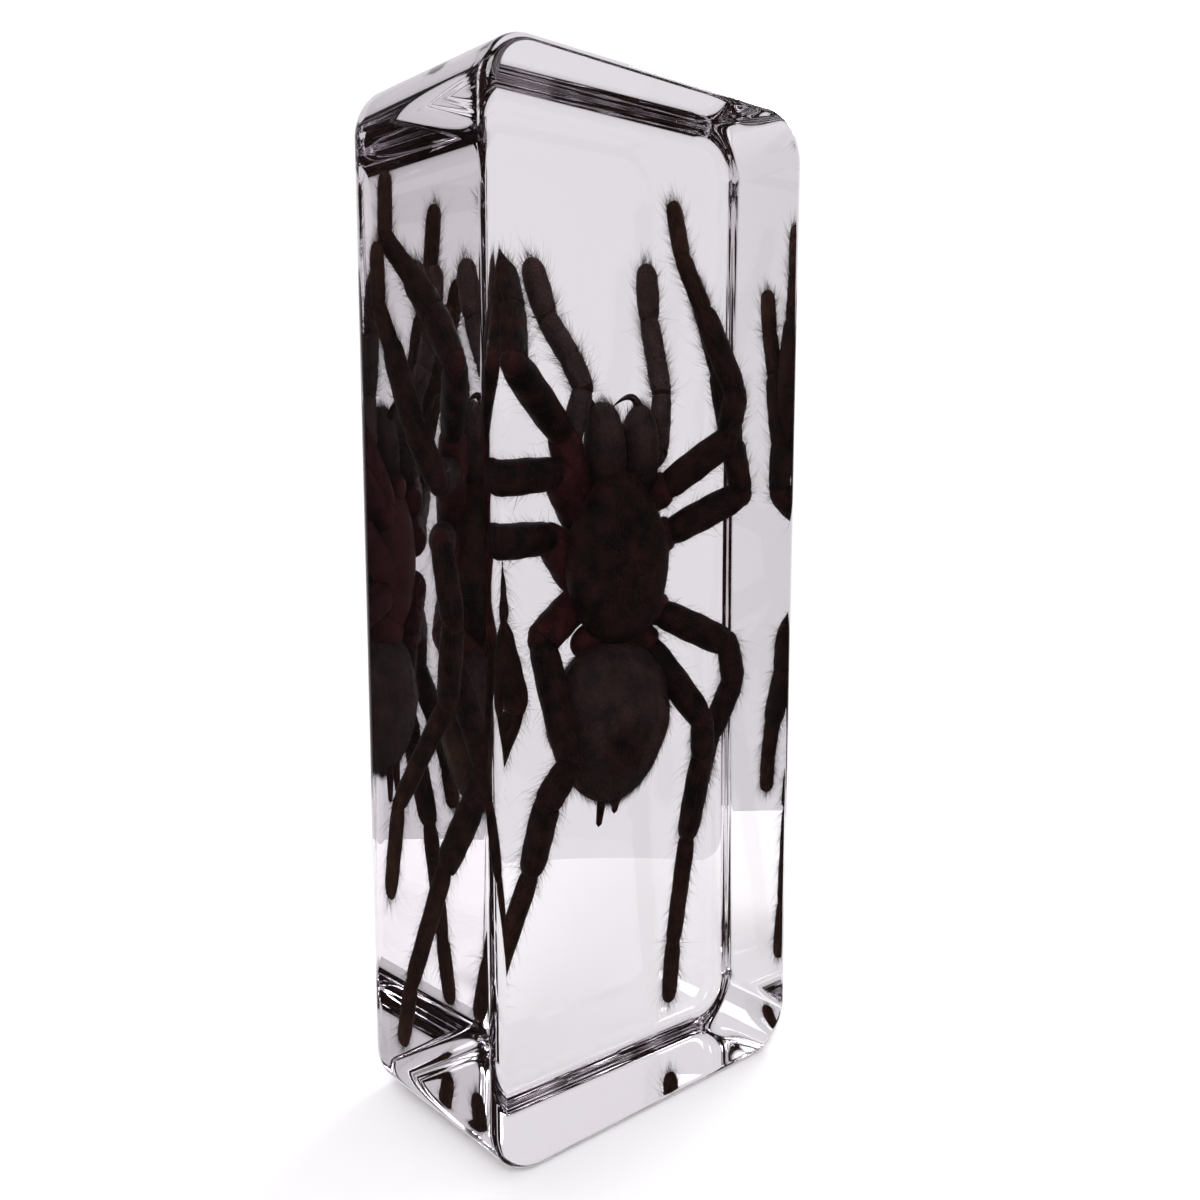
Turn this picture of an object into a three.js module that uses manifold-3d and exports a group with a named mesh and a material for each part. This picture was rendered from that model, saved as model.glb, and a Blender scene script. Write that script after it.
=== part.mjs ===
import * as THREE from "three";
import { mergeVertices } from "three/addons/utils/BufferGeometryUtils.js";
import Module from "manifold-3d";

const wasm = await Module();
wasm.setup();

// A tarantula sealed in an upright block of clear cast resin, in millimetres with Z up.
// The origin is the middle of the block's bottom face. X runs across the block and
// Y from its front face, which the spider's back is turned to, towards its back face.

// Resin block
const BLOCK_WIDTH = 44;
const BLOCK_DEPTH = 25;
const BLOCK_HEIGHT = 110;
const CORNER_RADIUS = 5.6;
const FRONT_RIM = 1.3;
const BACK_RIM = 2.8;
const CORNER_STEPS = 5;
const EDGE_STEPS = 2;

// The two pours of resin meet in a plane behind the middle of the specimen
const PARTING_DEPTH = 4;
const PARTING_GAP = 0.3;
const POCKET_CLEARANCE = 0.3;

// Facets around the limbs, the body and the looser pocket
const LIMB_SIDES = 7;
const POCKET_SIDES = 5;
const BODY_SLICES = 12;
const BODY_STACKS = 8;
const POCKET_SLICES = 9;
const POCKET_STACKS = 6;

// Where a limb segment swells between its joints, how much it narrows at each joint,
// and how far a rounded end runs past the last joint, as shares of length and radius
const SWELL_START = 0.25;
const SWELL_END = 0.8;
const JOINT_WIDTH = 0.84;
const END_LENGTH = 0.7;
const END_SHOULDER = 0.35;
const KNEE = 2;

// Points closer than this are one corner of a solid
const WELD = 1e-4;

// A limb that sets off this near to sideways has its facets counted from the upright
const SIDEWAYS = 0.8;

// Largest radius of each segment, from the coxa at the body to the tarsus at the tip
const LEG_RADII = [2.2, 1.9, 1.75, 1.75, 1.3, 1.2];
const PALP_RADII = [1.5, 1.4, 1.4, 1.4, 1.45];

// Joints of each limb from the body to the tip
const LIMBS = [
  {
    name: "right palp",
    radii: PALP_RADII,
    joints: [
      [4.6, 5.5, 70], [8, 4.5, 72.5], [8.6, 5, 79],
      [8.8, 7, 82.4], [8.5, 8.8, 87.2], [8.4, 9.7, 93.2],
    ],
  },
  {
    name: "left palp",
    radii: PALP_RADII,
    joints: [
      [-2.6, 5.6, 67.6], [-5, 4.6, 72.6], [-3.4, 3.5, 79.2],
      [-4.5, 4.8, 82.2], [-6.8, 6.8, 86.3], [-8, 8.8, 92],
    ],
  },
  {
    name: "right leg 1",
    radii: LEG_RADII,
    joints: [
      [5, 6, 66.5], [8.4, 3.5, 68.4], [15.9, -1, 73.8], [17.5, -0.8, 79.2],
      [14.3, 3.4, 88.4], [12.3, 6.5, 94.5], [11.5, 8, 100.4],
    ],
  },
  {
    name: "right leg 2",
    radii: LEG_RADII,
    joints: [
      [5.5, 6.2, 62], [9.2, 4, 63.2], [18.7, -0.8, 67.6], [17.7, 0.4, 73.4],
      [17.1, 3.8, 81.6], [16.5, 7.2, 87.3], [15.8, 9.3, 92],
    ],
  },
  {
    name: "right leg 3",
    radii: LEG_RADII,
    joints: [
      [5.4, 6.2, 57], [7.8, 4.2, 54.2], [16.8, -0.5, 49.8], [17.4, -1.2, 45.4],
      [16.5, 3.9, 38.7], [16.2, 6.1, 33.5], [15.6, 7.6, 29.1],
    ],
  },
  {
    name: "right leg 4",
    radii: LEG_RADII,
    joints: [
      [4.2, 6, 53], [6.3, 4.4, 50.4], [12.3, -1, 41.3], [13.2, 0.5, 37],
      [12.7, 4.6, 26.5], [11.9, 8, 12.5], [11.9, 9.7, 5],
    ],
  },
  {
    name: "left leg 1",
    radii: LEG_RADII,
    joints: [
      [-2.4, 6, 66], [-6.2, 3.5, 74.2], [-15.2, -3, 81], [-13.6, 1.6, 86.2],
      [-12.6, 6.2, 90.4], [-15.2, 9.4, 94.6], [-14.6, 9.5, 101],
    ],
  },
  {
    name: "left leg 2",
    radii: LEG_RADII,
    joints: [
      [-2.6, 6.2, 64.5], [-7, 3.4, 70.2], [-18.2, -1.4, 69.6], [-18.4, 2.6, 75],
      [-16.6, 7.7, 83.3], [-17, 9.8, 87.5], [-17, 9.9, 93.8],
    ],
  },
  {
    name: "left leg 3",
    radii: LEG_RADII,
    joints: [
      [-3.4, 6.2, 58.5], [-7.6, 4.3, 63.4], [-18.4, -2, 63.4], [-18.2, -3.8, 55.6],
      [-13.9, 0.2, 46.4], [-16.4, 8.3, 34], [-17.2, 9.9, 23.2],
    ],
  },
  {
    name: "left leg 4",
    radii: LEG_RADII,
    joints: [
      [-3.4, 6, 56], [-9.4, 3.2, 52.6], [-8.4, -3.2, 39.8], [-11.4, -2.8, 36.2],
      [-11.5, 2.2, 28.2], [-15.9, 6.6, 13.7], [-15.2, 9, 6],
    ],
  },
];

// Rounded masses of the body: middle and half extents
const BODY = [
  { name: "carapace", middle: [0.9, 2.4, 60.8], half: [7.1, 4.4, 9.7] },
  { name: "sternum", middle: [0.7, 5.6, 60], half: [5.2, 2.6, 8.4] },
  { name: "pedicel", middle: [-0.4, 4.2, 51.6], half: [4.6, 2.4, 2.6] },
  { name: "abdomen", middle: [-0.1, 2.6, 42.6], half: [8.8, 5.8, 9.3] },
  { name: "left chelicera", middle: [-0.2, 4, 72.8], half: [2.6, 3.4, 5] },
  { name: "right chelicera", middle: [4.7, 4, 72.6], half: [2.6, 3.4, 5] },
];

// Small tapering pieces: joints from base to tip and the radius of each segment
const TAPERS = [
  {
    name: "left fang",
    radii: [0.65, 0.4],
    joints: [[-0.6, 6, 76.5], [-1, 8.4, 78.4], [-1.9, 9.9, 77]],
  },
  {
    name: "right fang",
    radii: [0.5, 0.35],
    joints: [[5.3, 5, 76.4], [4.4, 5.6, 78.5], [1.9, 6.1, 77.4]],
  },
  {
    name: "long spinneret",
    radii: [0.75, 0.5],
    joints: [[-0.4, 4.6, 35], [-0.6, 4.8, 33], [-0.9, 5, 30.8]],
  },
  {
    name: "short spinneret",
    radii: [0.7, 0.5],
    joints: [[1.7, 4.6, 35], [1.6, 4.8, 33.2], [1.4, 5, 31.9]],
  },
];

function solidOf(geometry) {
  geometry.deleteAttribute("normal");
  geometry.deleteAttribute("uv");
  const merged = mergeVertices(geometry, WELD);
  const vertProperties = new Float32Array(merged.attributes.position.array);
  const triVerts = new Uint32Array(merged.index.array);
  return new wasm.Manifold(new wasm.Mesh({ numProp: 3, vertProperties, triVerts }));
}

function geometryOf(solid) {
  const mesh = solid.getMesh();
  const geometry = new THREE.BufferGeometry();
  geometry.setAttribute("position", new THREE.BufferAttribute(new Float32Array(mesh.vertProperties), 3));
  geometry.setIndex(new THREE.BufferAttribute(new Uint32Array(mesh.triVerts), 1));
  return geometry;
}

function joined(solids) {
  return solids.reduce((whole, solid) => whole.add(solid));
}

// A turned shape whose rings follow a chain of joints: each ring has a middle, the direction
// that the limb runs in there, and a radius, and the first and last rings close to a point
function turnedAlong(rings, sides) {
  const profile = rings.map((ring, i) => new THREE.Vector2(ring.radius, i));
  const geometry = new THREE.LatheGeometry(profile, sides);
  const position = geometry.attributes.position;
  let across = new THREE.Vector3(1, 0, 0);
  if (Math.abs(rings[0].direction.x) > SIDEWAYS) {
    across = new THREE.Vector3(0, 0, 1);
  }
  rings.forEach((ring, i) => {
    across.projectOnPlane(ring.direction).normalize();
    const beside = new THREE.Vector3().crossVectors(across, ring.direction);
    for (let side = 0; side <= sides; side += 1) {
      const angle = (side / sides) * 2 * Math.PI;
      const point = ring.middle.clone();
      point.addScaledVector(across, ring.radius * Math.sin(angle));
      point.addScaledVector(beside, ring.radius * Math.cos(angle));
      position.setXYZ(side * rings.length + i, point.x, point.y, point.z);
    }
  });
  return solidOf(geometry);
}

function directionsOf(points) {
  return points.slice(1).map((point, i) => point.clone().sub(points[i]).normalize());
}

// The direction halfway round the bend at a joint
function bisector(directions, i) {
  const before = directions[Math.max(i - 1, 0)];
  const after = directions[Math.min(i, directions.length - 1)];
  return before.clone().add(after).normalize();
}

// A run of limb segments, swelling in each segment and narrowing at each joint
function limbRun(joints, radii) {
  const points = joints.map((joint) => new THREE.Vector3(...joint));
  const directions = directionsOf(points);
  const last = radii.length - 1;
  const tip = points[last + 1];
  const beyond = (point, direction, reach, radius) => ({
    middle: point.clone().addScaledVector(direction, reach),
    direction,
    radius,
  });
  const rings = [
    beyond(points[0], directions[0], -END_LENGTH * radii[0], 0),
    beyond(points[0], directions[0], -END_SHOULDER * radii[0], JOINT_WIDTH * radii[0]),
  ];
  radii.forEach((radius, i) => {
    const next = radii[Math.min(i + 1, last)];
    const length = points[i].distanceTo(points[i + 1]);
    const shares = i === 0 && radii.length === KNEE ? [SWELL_END] : [SWELL_START, SWELL_END];
    for (const share of shares) {
      rings.push(beyond(points[i], directions[i], share * length, radius));
    }
    if (i < last) {
      rings.push({
        middle: points[i + 1],
        direction: bisector(directions, i + 1),
        radius: JOINT_WIDTH * Math.min(radius, next),
      });
    }
  });
  rings.push(beyond(tip, directions[last], END_SHOULDER * radii[last], JOINT_WIDTH * radii[last]));
  rings.push(beyond(tip, directions[last], END_LENGTH * radii[last], 0));
  return turnedAlong(rings, LIMB_SIDES);
}

// The sleeve of the pocket that clears a run of segments all round
function sleeveRun(joints, radii) {
  const points = joints.map((joint) => new THREE.Vector3(...joint));
  const directions = directionsOf(points);
  const last = points.length - 1;
  const spread = 1 / Math.cos(Math.PI / POCKET_SIDES);
  const rings = points.map((point, i) => {
    const direction = bisector(directions, i);
    const radius = Math.max(radii[Math.max(i - 1, 0)], radii[Math.min(i, radii.length - 1)]);
    const bend = direction.dot(directions[Math.min(i, directions.length - 1)]);
    let reach = 0;
    if (i === 0) {
      reach = -END_LENGTH * radius - POCKET_CLEARANCE;
    }
    if (i === last) {
      reach = END_LENGTH * radius + POCKET_CLEARANCE;
    }
    return {
      middle: point.clone().addScaledVector(direction, reach),
      direction,
      radius: ((radius + POCKET_CLEARANCE) * spread) / bend,
    };
  });
  const cap = (ring) => ({ ...ring, radius: 0 });
  return turnedAlong([cap(rings[0]), ...rings, cap(rings[last])], POCKET_SIDES);
}

function ellipsoid(middle, half, slices, stacks) {
  const geometry = new THREE.SphereGeometry(1, slices, stacks);
  geometry.rotateX(Math.PI / 2);
  geometry.scale(...half);
  geometry.translate(...middle);
  return solidOf(geometry);
}

// Calls make(joints, radii) for every run of limb, fang and spinneret. A limb is two runs
// that meet at the knee, where it bends most.
function runs(make) {
  const solids = [];
  for (const limb of LIMBS) {
    solids.push(make(limb.joints.slice(0, KNEE + 1), limb.radii.slice(0, KNEE)));
    solids.push(make(limb.joints.slice(KNEE), limb.radii.slice(KNEE)));
  }
  for (const taper of TAPERS) {
    solids.push(make(taper.joints, taper.radii));
  }
  return solids;
}

function spider() {
  const masses = BODY.map((mass) => ellipsoid(mass.middle, mass.half, BODY_SLICES, BODY_STACKS));
  return joined([...masses, ...runs(limbRun)]);
}

function pocket() {
  const spread = 1 / (Math.cos(Math.PI / POCKET_SLICES) * Math.cos(Math.PI / (2 * POCKET_STACKS)));
  const masses = BODY.map((mass) => {
    const half = mass.half.map((extent) => (extent + POCKET_CLEARANCE) * spread);
    return ellipsoid(mass.middle, half, POCKET_SLICES, POCKET_STACKS);
  });
  return joined([...masses, ...runs(sleeveRun)]);
}

// The block outline seen from the front, pulled through the depth with its rims rounded
function block(rim) {
  const half = BLOCK_WIDTH / 2;
  const round = CORNER_RADIUS;
  const outline = new THREE.Shape();
  outline.moveTo(-half + round, 0);
  outline.absarc(half - round, round, round, -Math.PI / 2, 0);
  outline.absarc(half - round, BLOCK_HEIGHT - round, round, 0, Math.PI / 2);
  outline.absarc(-half + round, BLOCK_HEIGHT - round, round, Math.PI / 2, Math.PI);
  outline.absarc(-half + round, round, round, Math.PI, 1.5 * Math.PI);
  const geometry = new THREE.ExtrudeGeometry(outline, {
    depth: BLOCK_DEPTH - 2 * rim,
    curveSegments: CORNER_STEPS,
    bevelThickness: rim,
    bevelSize: rim,
    bevelOffset: -rim,
    bevelSegments: EDGE_STEPS,
  });
  geometry.rotateX(Math.PI / 2);
  geometry.translate(0, BLOCK_DEPTH / 2 - rim, 0);
  return solidOf(geometry);
}

// A slab that takes everything between two depths
function slab(near, far) {
  const geometry = new THREE.BoxGeometry(2 * BLOCK_WIDTH, far - near, 2 * BLOCK_HEIGHT);
  geometry.translate(0, (near + far) / 2, BLOCK_HEIGHT / 2);
  return solidOf(geometry);
}

const hollow = pocket();
const frontSlab = slab(-BLOCK_DEPTH, PARTING_DEPTH - PARTING_GAP / 2);
const backSlab = slab(PARTING_DEPTH + PARTING_GAP / 2, BLOCK_DEPTH);
const frontHalf = block(FRONT_RIM).intersect(frontSlab).subtract(hollow);
const backHalf = block(BACK_RIM).intersect(backSlab).subtract(hollow);

function resin() {
  return new THREE.MeshStandardMaterial({
    color: 0xf1eff2,
    roughness: 0.04,
    metalness: 0,
    transparent: true,
    opacity: 0.25,
  });
}

function piece(name, solid, material) {
  const mesh = new THREE.Mesh(geometryOf(solid), material);
  mesh.name = name;
  return mesh;
}

const cuticle = new THREE.MeshStandardMaterial({ color: 0x231815, roughness: 0.6, metalness: 0 });

const paperweight = new THREE.Group();
paperweight.name = "tarantula_in_resin_block";
paperweight.add(piece("block_front", frontHalf, resin()));
paperweight.add(piece("block_back", backHalf, resin()));
paperweight.add(piece("tarantula", spider(), cuticle));

export default paperweight;
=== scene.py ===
import math

import bpy
import numpy as np
from bpy.props import FloatProperty, FloatVectorProperty, IntProperty, PointerProperty
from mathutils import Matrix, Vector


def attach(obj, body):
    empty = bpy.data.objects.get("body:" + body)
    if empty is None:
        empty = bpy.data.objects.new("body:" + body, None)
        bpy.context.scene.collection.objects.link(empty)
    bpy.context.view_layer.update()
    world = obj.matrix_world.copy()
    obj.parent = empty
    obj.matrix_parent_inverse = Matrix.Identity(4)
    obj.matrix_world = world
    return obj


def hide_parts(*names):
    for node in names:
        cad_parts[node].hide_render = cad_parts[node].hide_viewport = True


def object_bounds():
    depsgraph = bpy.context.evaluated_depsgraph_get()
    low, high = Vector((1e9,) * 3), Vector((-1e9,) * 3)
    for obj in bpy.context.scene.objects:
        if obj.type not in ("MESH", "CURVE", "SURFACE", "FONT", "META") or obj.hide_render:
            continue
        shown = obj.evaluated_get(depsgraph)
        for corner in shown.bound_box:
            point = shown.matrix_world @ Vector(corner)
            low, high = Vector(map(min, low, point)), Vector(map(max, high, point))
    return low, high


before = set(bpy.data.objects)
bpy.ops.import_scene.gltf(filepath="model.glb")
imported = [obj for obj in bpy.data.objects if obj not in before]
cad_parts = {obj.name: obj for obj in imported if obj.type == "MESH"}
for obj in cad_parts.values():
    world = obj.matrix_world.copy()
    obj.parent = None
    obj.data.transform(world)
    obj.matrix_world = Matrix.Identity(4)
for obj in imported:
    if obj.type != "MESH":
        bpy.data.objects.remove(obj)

bl_info = {
    "name": "Tarantula in a resin block",
    "version": (1, 0, 0),
    "blender": (4, 5, 0),
    "location": "View3D > Sidebar > Specimen",
    "description": "Builds a dried tarantula sealed in a clear cast block, and its studio",
    "category": "Add Mesh",
}

MM = 0.001
CAD_BOX = [list(corner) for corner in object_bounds()]
LOW, HIGH = (np.array(corner) for corner in CAD_BOX)
BODY_NODE = "tarantula"
BLOCK_NODES = ("block_front", "block_back")

# Joints of each limb from the body to the tip, in millimetres: the ends of the coxa and
# trochanter, femur, patella, tibia, metatarsus (on legs only) and tarsus
LIMB_JOINTS = {
    "palp_right": [
        [4.6, 5.5, 70], [8, 4.5, 72.5], [8.6, 5, 79],
        [8.8, 7, 82.4], [8.5, 8.8, 87.2], [8.4, 9.7, 93.2],
    ],
    "palp_left": [
        [-2.6, 5.6, 67.6], [-5, 4.6, 72.6], [-3.4, 3.5, 79.2],
        [-4.5, 4.8, 82.2], [-6.8, 6.8, 86.3], [-8, 8.8, 92],
    ],
    "leg_1_right": [
        [5, 6, 66.5], [8.4, 3.5, 68.4], [15.9, -1, 73.8], [17.5, -0.8, 79.2],
        [14.3, 3.4, 88.4], [12.3, 6.5, 94.5], [11.5, 8, 100.4],
    ],
    "leg_2_right": [
        [5.5, 6.2, 62], [9.2, 4, 63.2], [18.7, -0.8, 67.6], [17.7, 0.4, 73.4],
        [17.1, 3.8, 81.6], [16.5, 7.2, 87.3], [15.8, 9.3, 92],
    ],
    "leg_3_right": [
        [5.4, 6.2, 57], [7.8, 4.2, 54.2], [16.8, -0.5, 49.8], [17.4, -1.2, 45.4],
        [16.5, 3.9, 38.7], [16.2, 6.1, 33.5], [15.6, 7.6, 29.1],
    ],
    "leg_4_right": [
        [4.2, 6, 53], [6.3, 4.4, 50.4], [12.3, -1, 41.3], [13.2, 0.5, 37],
        [12.7, 4.6, 26.5], [11.9, 8, 12.5], [11.9, 9.7, 5],
    ],
    "leg_1_left": [
        [-2.4, 6, 66], [-6.2, 3.5, 74.2], [-15.2, -3, 81], [-13.6, 1.6, 86.2],
        [-12.6, 6.2, 90.4], [-15.2, 9.4, 94.6], [-14.6, 9.5, 101],
    ],
    "leg_2_left": [
        [-2.6, 6.2, 64.5], [-7, 3.4, 70.2], [-18.2, -1.4, 69.6], [-18.4, 2.6, 75],
        [-16.6, 7.7, 83.3], [-17, 9.8, 87.5], [-17, 9.9, 93.8],
    ],
    "leg_3_left": [
        [-3.4, 6.2, 58.5], [-7.6, 4.3, 63.4], [-18.4, -2, 63.4], [-18.2, -3.8, 55.6],
        [-13.9, 0.2, 46.4], [-16.4, 8.3, 34], [-17.2, 9.9, 23.2],
    ],
    "leg_4_left": [
        [-3.4, 6, 56], [-9.4, 3.2, 52.6], [-8.4, -3.2, 39.8], [-11.4, -2.8, 36.2],
        [-11.5, 2.2, 28.2], [-15.9, 6.6, 13.7], [-15.2, 9, 6],
    ],
}

# Largest radius of each segment in millimetres, and how its width runs from one joint
# to the next: shares of that radius at the places in SHAPE_STEPS
LEG_RADII = [2.2, 1.9, 1.75, 1.75, 1.3, 1.2]
PALP_RADII = [1.5, 1.4, 1.4, 1.4, 1.45]
SHAPE_STEPS = [0, 0.2, 0.5, 0.8, 1]
LEG_SHAPES = [
    [0.95, 1, 1, 0.98, 0.95],
    [0.88, 0.98, 1.03, 1, 0.92],
    [0.9, 0.98, 1.04, 1.05, 1],
    [0.94, 1.02, 1.02, 0.98, 0.94],
    [1, 1.03, 0.98, 0.96, 0.98],
    [0.98, 1.02, 1.02, 0.98, 0.85],
]
PALP_FOOT = [0.74, 1, 1.1, 1.02, 0.76]
PALP_SHAPES = [*LEG_SHAPES[:4], PALP_FOOT]

# Tapering pieces: joints from the base to the tip and the radius at each joint, in millimetres
FANG_JOINTS = {
    "left": [[-0.6, 5, 75.4], [-1, 8.4, 78.4], [-1.9, 9.9, 77]],
    "right": [[5.3, 5, 76.4], [4.4, 5.6, 78.5], [1.9, 6.1, 77.4]],
}
FANG_RADII = [0.7, 0.42, 0.06]
SPINNERET_JOINTS = {
    "long_left": [[-0.4, 4.6, 35], [-0.6, 4.8, 33], [-0.9, 5, 30.6]],
    "short_right": [[1.7, 4.6, 35], [1.6, 4.8, 33.2], [1.4, 5, 31.7]],
}
SPINNERET_RADII = [0.72, 0.62, 0.4]

# Middles and half extents of the body's masses, in millimetres
CARAPACE = ([0.9, 2.4, 60.8], [7.1, 4.4, 9.7])
STERNUM = ([0.7, 5.6, 60], [5.2, 2.6, 8.4])
PEDICEL = ([-0.4, 4.2, 51.6], [4.6, 2.4, 2.6])
ABDOMEN = ([-0.1, 2.6, 42.6], [8.8, 5.8, 9.3])
CHELICERAE = {
    "left": ([-0.2, 4, 72.8], [2.6, 3.4, 5]),
    "right": ([4.7, 4, 72.6], [2.6, 3.4, 5]),
}
LIP = ([0.9, 6.4, 68.4], [1.7, 1.3, 1.6])

# How far each jaw leans sideways over its length
CHELICERA_LEAN = {"left": -0.05, "right": 0.05}

# Eyes from the middle of their mound: sideways, lengthways and radius, in millimetres
EYES = [
    (-0.32, 0.25, 0.24), (0.32, 0.25, 0.24), (-0.8, 0.35, 0.2), (0.8, 0.35, 0.2),
    (-0.5, -0.3, 0.18), (0.5, -0.3, 0.18), (-0.85, -0.2, 0.2), (0.85, -0.2, 0.2),
]

# Values from 0 to 1 at a skin's points, each named for the colour in SpiderSettings that it mixes in
MARKS = ("down", "tan", "membrane")


def linear(code):
    """Turns an sRGB hex value into linear red, green, blue and a full alpha."""
    shares = np.array([int(code[i:i + 2], 16) for i in (1, 3, 5)]) / 255
    values = np.where(shares <= 0.04045, shares / 12.92, ((shares + 0.055) / 1.055) ** 2.4)
    return (*values.tolist(), 1.0)


def unit(vectors):
    """Vectors scaled to length one along the last axis."""
    return vectors / np.maximum(np.linalg.norm(vectors, axis=-1, keepdims=True), 1e-12)


# Settings that a user would change

def length(name, description, default):
    """A length property in metres."""
    return FloatProperty(name=name, description=description, default=default, min=0, unit="LENGTH")


def colour(name, description, code):
    """A colour property whose default is an sRGB hex value."""
    return FloatVectorProperty(
        name=name, description=description, default=linear(code), size=4, min=0, max=1, subtype="COLOR"
    )


class BlockSettings(bpy.types.PropertyGroup):
    """Sizes and clearness of the cast block."""

    width: length("Width", "Across the front face", float(HIGH[0] - LOW[0]))
    depth: length("Depth", "From the front face to the back face", float(HIGH[1] - LOW[1]))
    height: length("Height", "Up the block", float(HIGH[2] - LOW[2]))
    corner: length("Corner radius", "Round of the four corners seen from the front", 5.6 * MM)
    rim_front: length("Front rim", "Round of the front face's rim", 1.3 * MM)
    rim_back: length("Back rim", "Round of the back face's rim", 2.8 * MM)
    ior: FloatProperty(name="IOR", description="Refraction of polyester resin", default=1.55, min=1)
    tint: colour("Tint", "Colour that thick resin takes", "#d6c8d6")
    tint_density: FloatProperty(
        name="Tint density", description="Absorption per metre", default=7.0, min=0
    )


class SpiderSettings(bpy.types.PropertyGroup):
    """Colours and hair of the dried spider."""

    dark: colour("Dark cuticle", "Darkest brown of the cuticle", "#0e0807")
    brown: colour("Brown cuticle", "Lighter brown of the cuticle", "#2e1a16")
    tan: colour("Tan", "Brown of the feet, palp ends and flanks", "#4a3226")
    down: colour("Down", "Grey brown of the short down on palps, jaws and abdomen", "#463939")
    membrane: colour("Membrane", "Reddish soft skin between the plates", "#4e2024")
    hair_root: colour("Hair root", "Hair colour near the skin", "#150d0b")
    # Painted backlight: the tip colour is lighter to stand for light that passes the thin end of a hair
    hair_tip: colour("Hair tip", "Hair colour at its end", "#4c382b")
    hair_width: length("Hair width", "Thickness of a hair at its root", 0.038 * MM)
    leg_hair: length("Leg hair", "Usual length of the hair on the legs", 1.2 * MM)
    body_hair: length("Body hair", "Usual length of the hair on the body", 0.9 * MM)
    seed: IntProperty(name="Seed", description="Start of the random hair places", default=11)


class StageSettings(bpy.types.PropertyGroup):
    """Floor, light and camera."""

    floor_radius: length("Floor radius", "Radius of the round floor", 0.08)
    floor: colour("Floor", "Colour of the floor", "#fbfbfb")
    camera: FloatVectorProperty(
        name="Camera", description="Place of the camera", subtype="XYZ", unit="LENGTH",
        default=(-82.93 * MM, -97.48 * MM, 71.63 * MM),
    )
    turn: FloatProperty(
        name="Turn", description="Camera's turn from +Y towards +X",
        subtype="ANGLE", default=math.radians(41.16),
    )
    dip: FloatProperty(
        name="Dip", description="Camera's angle below the horizon",
        subtype="ANGLE", default=math.radians(7.05),
    )
    lens: FloatProperty(name="Lens", description="Focal length on a 36 mm wide frame", default=34.08)


# Materials, with the widths of their patterns and the depth of the hair sockets in millimetres

BLOTCH_WIDTH = 2.4
SOCKET_WIDTH = 0.25
SOCKET_DEPTH = 0.06
CLOUD_WIDTH = 1.2


def add_node(tree, kind, settings=None, links=None):
    """Adds a node, sets its inputs or properties by name or number, and links inputs to sockets."""
    node = tree.nodes.new(kind)
    for key, value in (settings or {}).items():
        if isinstance(key, int) or key in node.inputs:
            node.inputs[key].default_value = value
        else:
            setattr(node, key, value)
    for key, socket in (links or {}).items():
        tree.links.new(socket, node.inputs[key])
    return node


def new_material(name):
    """An empty material and its node tree with only an output."""
    material = bpy.data.materials.new(name)
    material.use_nodes = True
    material.node_tree.nodes.clear()
    output = add_node(material.node_tree, "ShaderNodeOutputMaterial")
    return material, material.node_tree, output


def pattern_scale(millimetres):
    """Scale of a noise on Object coordinates whose grains are this many millimetres wide."""
    return 1 / (millimetres * MM)


def resin_material(block):
    """Polyester resin, cast and polished: clear, hard gloss, with a faint violet cast in the depth."""
    material, tree, output = new_material("polyester_resin_cast_polished")
    shader = add_node(tree, "ShaderNodeBsdfPrincipled", {
        "Base Color": (1, 1, 1, 1),
        "Roughness": 0.0,
        "IOR": block.ior,
        "Transmission Weight": 1.0,
    })
    volume = add_node(tree, "ShaderNodeVolumeAbsorption", {
        "Color": tuple(block.tint),
        "Density": block.tint_density,
    })
    tree.links.new(shader.outputs["BSDF"], output.inputs["Surface"])
    tree.links.new(volume.outputs["Volume"], output.inputs["Volume"])
    return material


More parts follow.
